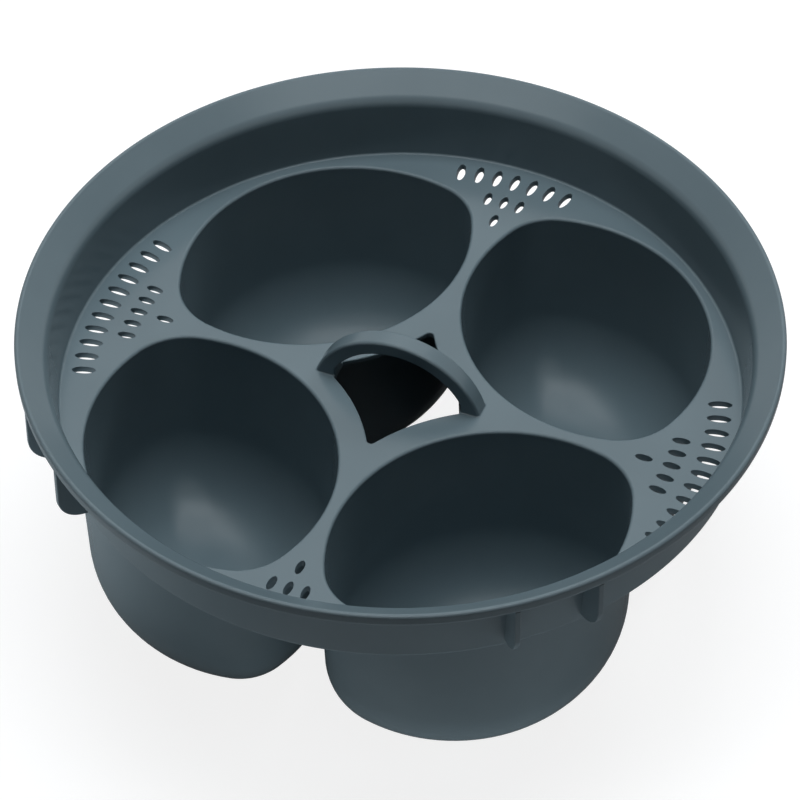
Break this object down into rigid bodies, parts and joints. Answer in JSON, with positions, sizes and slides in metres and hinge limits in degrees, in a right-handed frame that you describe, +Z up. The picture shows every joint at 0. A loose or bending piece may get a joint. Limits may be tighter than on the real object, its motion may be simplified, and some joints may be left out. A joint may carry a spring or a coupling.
{
  "type": "egg steamer insert",
  "caption": "Round egg steamer insert: a flared rim around a vented deck with deep egg cups below it, a middle opening under a fixed arch handle, and ribs under the lip that stand on a pot.",
  "frame": {"origin": "on the rim's axis, level with the flats that the cups stand on", "axes": "+Z up along the rim's axis, +X along the handle, +Y across it"},
  "size_m": [0.2048, 0.2048, 0.085],
  "materials": {
    "slate_polypropylene": "moulded, satin, dark slate grey"
  },
  "bodies": {
    "root": {"rim_collar": "slate_polypropylene", "vented_deck": "slate_polypropylene", "lifting_handle": "slate_polypropylene", "egg_cup_back_right": "slate_polypropylene", "egg_cup_back_left": "slate_polypropylene", "egg_cup_front_left": "slate_polypropylene", "egg_cup_front_right": "slate_polypropylene", "rim_rib_back_right_1": "slate_polypropylene", "rim_rib_back_right_2": "slate_polypropylene", "rim_rib_back_left_1": "slate_polypropylene", "rim_rib_back_left_2": "slate_polypropylene", "rim_rib_front_left_1": "slate_polypropylene", "rim_rib_front_left_2": "slate_polypropylene", "rim_rib_front_right_1": "slate_polypropylene", "rim_rib_front_right_2": "slate_polypropylene"}
  },
  "joints": []
}
